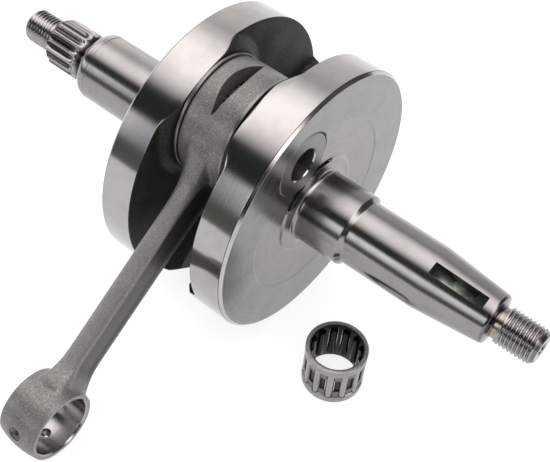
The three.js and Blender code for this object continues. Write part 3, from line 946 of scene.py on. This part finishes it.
def lens_cutter(angle):
    """The oil slot in the big end's wall: a lens with a rounded tail, wider outside than inside."""
    def width_share(t, tail):
        rounding = math.sqrt(min(1, max(0, (t + 1) * 6))) if t < 0 else 0
        return max(1 - t * t, tail * rounding)

    steps = 48
    upward = [-1 + 2 * i / steps for i in range(steps)]
    downward = [1 - 2 * i / steps for i in range(steps)]
    verts = []
    for x, wide in ((8.0, 1.25), (22.0, 3.2)):
        verts += [(x, 1.7 * width_share(t, 0.42), t * SLOT_HALF_LENGTH) for t in upward]
        verts += [(x, -wide * width_share(t, 0.3), t * SLOT_HALF_LENGTH) for t in downward]
    return prism("lens", verts, ROD @ turned_about_y(angle))


def oil_hole_cutter(angle, outlet):
    """A hole through the small end's wall, which reaches the skin with its outlet's radius."""
    place = SMALL_EYE @ turned_about_y(angle) @ Matrix.Rotation(math.radians(-90), 4, "Z")
    radius = OIL_HOLE_RADIUS
    profile = [(0, 5), (radius, 5), (radius, 9.5), (outlet, 10.1), (outlet, 14), (0, 14)]
    return revolve("oil", profile, 48, place)


def connecting_rod(name):
    """A shot-blasted forging with machined bores and side faces."""
    blasted, bored, ground, dark = range(4)

    def big(share):
        return BIG_END_RADIUS + 0.25 - 0.7 * abs(share) ** 6

    def small(share):
        return SMALL_END_FACE + (SMALL_END_RADIUS - SMALL_END_FACE) * (1 - share * share)

    shells = [
        shank_shell(name),
        eye_shell("big", ROD, big, BIG_END_HALF + MACHINING),
        eye_shell("small", SMALL_EYE, small, SMALL_END_HALF + MACHINING),
    ]
    rod = paint(fused(joined(name, shells), 0.42, 12), blasted_rod, bore_steel, ground_face, pin_hollow)
    for half, place, reach in ((BIG_END_HALF, ROD, 22), (SMALL_END_HALF, SMALL_EYE, 16)):
        cut(rod, cylinder_cutter(reach, half, half + 5, place), ground)
        cut(rod, cylinder_cutter(reach, -half - 5, -half, place), ground)
    cut(rod, bore_cutter(BIG_END_BORE, BIG_END_HALF, 0.4, ROD), bored)
    cut(rod, bore_cutter(SMALL_END_BORE, SMALL_END_HALF, 0.35, SMALL_EYE), bored)
    for angle in (SLOT_ANGLE, -SLOT_ANGLE):
        cut(rod, lens_cutter(math.radians(angle)), blasted)
    for angle, outlet in OIL_HOLES:
        cut(rod, oil_hole_cutter(math.radians(angle), outlet), dark)
    smooth(rod, 38)
    return rod


# ---------- needle bearings ----------
def roller(name, radius, length, place, steel):
    end = length / 2
    corners = [(0, -end), (radius - 0.02, -end), (radius, -end + 0.35), (radius, end - 0.35),
               (radius - 0.02, end), (0, end)]
    return paint(revolve(name, rounded(corners, 0.25, 4), 32, place, 40), steel)


def cut_windows(cage, rollers, pitch, roller_radius, roller_length, place):
    """One round-flanked window for each roller, with room for it to turn."""
    half_length = roller_length / 2 + WINDOW_END_GAP
    cutters = []
    for i in range(rollers):
        a = 2 * math.pi * i / rollers
        spot = Matrix.Translation((pitch * math.cos(a), 0, pitch * math.sin(a)))
        window = cylinder_cutter(roller_radius + WINDOW_GAP, -half_length, half_length, place @ spot, 32)
        cutters.append(window)
    cut(cage, joined("windows", cutters))
    smooth(cage, 30)
    return cage


def big_end_cage(name):
    inner, outer, half = BIG_CAGE_INNER, BIG_CAGE_OUTER, BIG_CAGE_HALF
    section = ring_section([(inner, -half), (outer, -half), (outer, half), (inner, half)], 0.3)
    cage = paint(tube_ring(name, section, 168, BIG_CAGE), cage_steel)
    return cut_windows(cage, BIG_ROLLERS, BIG_PITCH, BIG_ROLLER, BIG_ROLLER_LENGTH, BIG_CAGE)


def small_end_cage(name):
    """An M-shaped cage: end rings, a step down to the pads, and a deeper waist between them."""
    inner, half = SMALL_CAGE_INNER, SMALL_CAGE_HALF
    outer = [(SMALL_CAGE_OUTER, -half), (SMALL_CAGE_OUTER, -4.9), (7.8, -4.55), (7.8, -2.6), (7.35, -2.1)]
    section = [(inner, -half)] + outer + [(r, -y) for r, y in reversed(outer)] + [(inner, half)]
    cage = paint(tube_ring(name, ring_section(section, 0.16), 208, LOOSE_BEARING), loose_cage_steel)
    return cut_windows(cage, SMALL_ROLLERS, SMALL_PITCH, SMALL_ROLLER, SMALL_ROLLER_LENGTH, LOOSE_BEARING)


def needles(start, radius, length, place, steel):
    """One roller for each CAD needle, where the CAD needle stands."""
    made = {}
    for node in nodes_named(start):
        spot = Matrix.Translation(Vector(node_centre(node))) @ place
        made[node] = roller(node + "_look", radius, length, spot, steel)
    return made


def finish_piece(piece, body, node):
    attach(piece, body)
    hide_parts(node)


finish_piece(taper_half("taper_half_look"), "crank", "taper_crank_half")
finish_piece(spline_half("spline_half_look"), "crank", "spline_crank_half")
finish_piece(crank_pin("crank_pin_look"), "crank", "crank_pin")
finish_piece(connecting_rod("connecting_rod_look"), "conrod", "connecting_rod")
for side, label in ((1, "taper_side"), (-1, "spline_side")):
    washer = thrust_washer(label + "_washer_look", side)
    finish_piece(washer, label + "_washer", label + "_thrust_washer")
finish_piece(big_end_cage("big_end_cage_look"), "big_end_cage", "big_end_cage")
finish_piece(small_end_cage("small_end_cage_look"), "small_end_bearing", "small_end_cage")
big_needles = needles("big_end_needle", BIG_ROLLER, BIG_ROLLER_LENGTH, Matrix.Identity(4), needle_steel)
small_needles = needles("small_end_needle", SMALL_ROLLER, SMALL_ROLLER_LENGTH, UPRIGHT, loose_needle_steel)
for node, piece in (*big_needles.items(), *small_needles.items()):
    finish_piece(piece, node, node)


# ---------- floor and light ----------
FLOOR_GLOW = 0.8


def pale_floor():
    """A broad pale sheet, lit from below, that the parts stand on."""
    half = 700.0
    corners = [(x, y, floor_z) for x, y in ((-half, -half), (half, -half), (half, half), (-half, half))]
    mesh = bpy.data.meshes.new("floor")
    mesh.from_pydata(corners, [], [(0, 1, 2, 3)])
    mesh.transform(Matrix.Scale(MM, 4))
    floor = bpy.data.objects.new("floor", mesh)
    bpy.context.scene.collection.objects.link(floor)
    paper = Steel("pale_paper", 0.9, metallic=0.0)
    paper.surface.inputs["Specular IOR Level"].default_value = 0.1
    fibre = paper.noise(3.0, 3.0)
    paper.colour(paper.mix(fibre, (0.27, 0.27, 0.27), (0.29, 0.29, 0.29)))
    paper.surface.inputs["Emission Color"].default_value = (1.0, 1.0, 1.0, 1)
    paper.surface.inputs["Emission Strength"].default_value = FLOOR_GLOW
    paint(floor, paper.bumps((fibre, 0.02)))


# Brightness round the crank axis, in degrees above the +X horizon: a dark card, a small bluish box,
# a black gap, the large overhead softbox and the pale wall behind.
STUDIO_START = -20
STUDIO_END = 200
STUDIO = [
    (-20, (0.15, 0.15, 0.135)), (-5, (0.14, 0.14, 0.125)), (8, (0.112, 0.115, 0.1)),
    (12, (0.13, 0.13, 0.12)), (18, (0.20, 0.199, 0.209)), (27, (0.29, 0.287, 0.302)),
    (34, (0.33, 0.327, 0.342)), (37, (0.19, 0.19, 0.19)), (40, (0.012, 0.018, 0.011)),
    (57, (0.014, 0.02, 0.013)), (61, (0.07, 0.07, 0.06)), (67, (0.6, 0.57, 0.56)),
    (75, (1.25, 1.17, 1.15)), (85, (1.72, 1.61, 1.59)), (95, (1.88, 1.76, 1.74)),
    (106, (1.86, 1.75, 1.73)), (119, (1.42, 1.35, 1.33)), (128, (0.88, 0.85, 0.84)),
    (137, (0.57, 0.56, 0.55)), (153, (0.78, 0.76, 0.75)), (178, (0.87, 0.85, 0.84)),
    (194, (1.07, 1.05, 1.04)), (200, (1.07, 1.05, 1.04)),
]

# Brightness of the light that soft surfaces gather from the same directions, and how it falls
# from the middle towards +Y.
DAYLIGHT = [(-20, 0.45), (40, 0.6), (58, 2.3), (125, 2.3), (150, 1.1), (200, 0.8)]
DAYLIGHT_FALL = (0.0, 0.55, 1.15, 0.45)

# What is added to a box's brightness as the direction leans out of the plane of the webs: from one
# lean to the next, and how much in the end. A lean is the size of the direction's part along Y.
SMALL_BOX_GAINS = [(0.375, 0.345, 9.0), (0.51, 0.53, 4.5), (0.33, 0.295, -5.0)]
WALL_GAINS = [(0.49, 0.53, 0.6), (0.40, 0.35, -0.25)]
BEHIND_VIEW = (0.18, 0.34)
SHADE_BEHIND_VIEW = 0.93
TOP_BEHIND_VIEW = 0.4
STUDIO_GAIN = 1.42
ENDS_START = 0.93
ENDS_FULL = 0.99
ENDS_COLOUR = (0.6, 0.59, 0.58)


def studio_world():
    """Soft boxes that shine in the steel, while the paper and the view see an even pale room."""
    world = bpy.data.worlds.new("studio")
    bpy.context.scene.world = world
    world.use_nodes = True
    world.node_tree.nodes.clear()
    room = Nodes(world.node_tree)

    def ramp_of(table):
        ramp = room.add("ValToRGB")
        room.link(share, ramp.inputs[0])
        stops = ramp.color_ramp.elements
        while len(stops) < len(table):
            stops.new(0.5)
        for stop, (degrees, colour) in zip(stops, table):
            stop.position = (degrees - STUDIO_START) / span
            stop.color = (*colour, 1)
        return ramp.outputs[0]

    def scaled(colour, factor):
        node = room.add("VectorMath")
        node.operation = "SCALE"
        room.link(colour, node.inputs[0])
        room.link(factor, node.inputs["Scale"])
        return node.outputs[0]

    def product(first, *others):
        for other in others:
            first = room.math("MULTIPLY", first, other)
        return first

    def total(first, *others):
        for other in others:
            first = room.math("ADD", first, other)
        return first

    def gain_of(steps):
        return total(*[room.spread(lean, low, high, 0.0, gain) for low, high, gain in steps])

    direction = room.add("SeparateXYZ", Vector=room.add("TexCoord").outputs["Generated"]).outputs
    turn = room.math("DEGREES", room.math("ARCTAN2", direction["Z"], direction["X"]))
    turn = room.math("SUBTRACT", room.math("FLOORED_MODULO", room.math("ADD", turn, 90), 360), 90)
    span = STUDIO_END - STUDIO_START
    share = room.math("DIVIDE", room.math("SUBTRACT", turn, STUDIO_START), span)
    lean = room.math("ABSOLUTE", direction["Y"])
    behind_view = room.spread(direction["Y"], *BEHIND_VIEW)

    small_box = product(room.spread(turn, 10, 18), room.spread(turn, 41, 35), gain_of(SMALL_BOX_GAINS))
    wall = product(room.spread(turn, 126, 136), gain_of(WALL_GAINS))
    top = product(room.spread(turn, 60, 68), room.spread(turn, 112, 100), behind_view, TOP_BEHIND_VIEW)
    lit = total(small_box, wall, 1.0, top)
    beside_top = room.math("MAXIMUM", room.spread(turn, 112, 128), room.spread(turn, 62, 50))
    shade = room.math("SUBTRACT", 1.0, product(behind_view, beside_top, SHADE_BEHIND_VIEW))
    boxes = scaled(ramp_of(STUDIO), product(lit, shade, STUDIO_GAIN))
    boxes = room.mix(room.spread(lean, ENDS_START, ENDS_FULL), boxes, ENDS_COLOUR)

    grey = ramp_of([(degrees, (level, level, level)) for degrees, level in DAYLIGHT])
    soft = scaled(grey, room.spread(direction["Y"], *DAYLIGHT_FALL))
    ray = room.add("LightPath").outputs
    soft_or_white = room.mix(ray["Is Camera Ray"], soft, (1.0, 1.0, 1.0))
    colour = room.mix(ray["Is Glossy Ray"], soft_or_white, boxes)
    background = room.add("Background", Color=colour)
    room.link(background.outputs[0], room.add("OutputWorld").inputs[0])


def camera():
    """The view along the fitted line of sight, from above the tapered end."""
    place = Vector((165.7, 123.07, 221.77))
    target = Vector((21.3, 2.605, -14.394))
    roll = 0.031
    data = bpy.data.cameras.new("camera")
    data.sensor_width = 36
    data.lens = 74.31
    data.shift_x = 0.1194
    data.shift_y = 0.0357
    data.clip_start = 0.01
    look = (target - place).to_track_quat("-Z", "Y").to_matrix().to_4x4()
    obj = bpy.data.objects.new("camera", data)
    obj.matrix_world = Matrix.Translation(place * MM) @ look @ Matrix.Rotation(roll, 4, "Z")
    bpy.context.scene.collection.objects.link(obj)
    bpy.context.scene.camera = obj


pale_floor()
studio_world()
camera()
bpy.context.scene.view_settings.view_transform = "Standard"
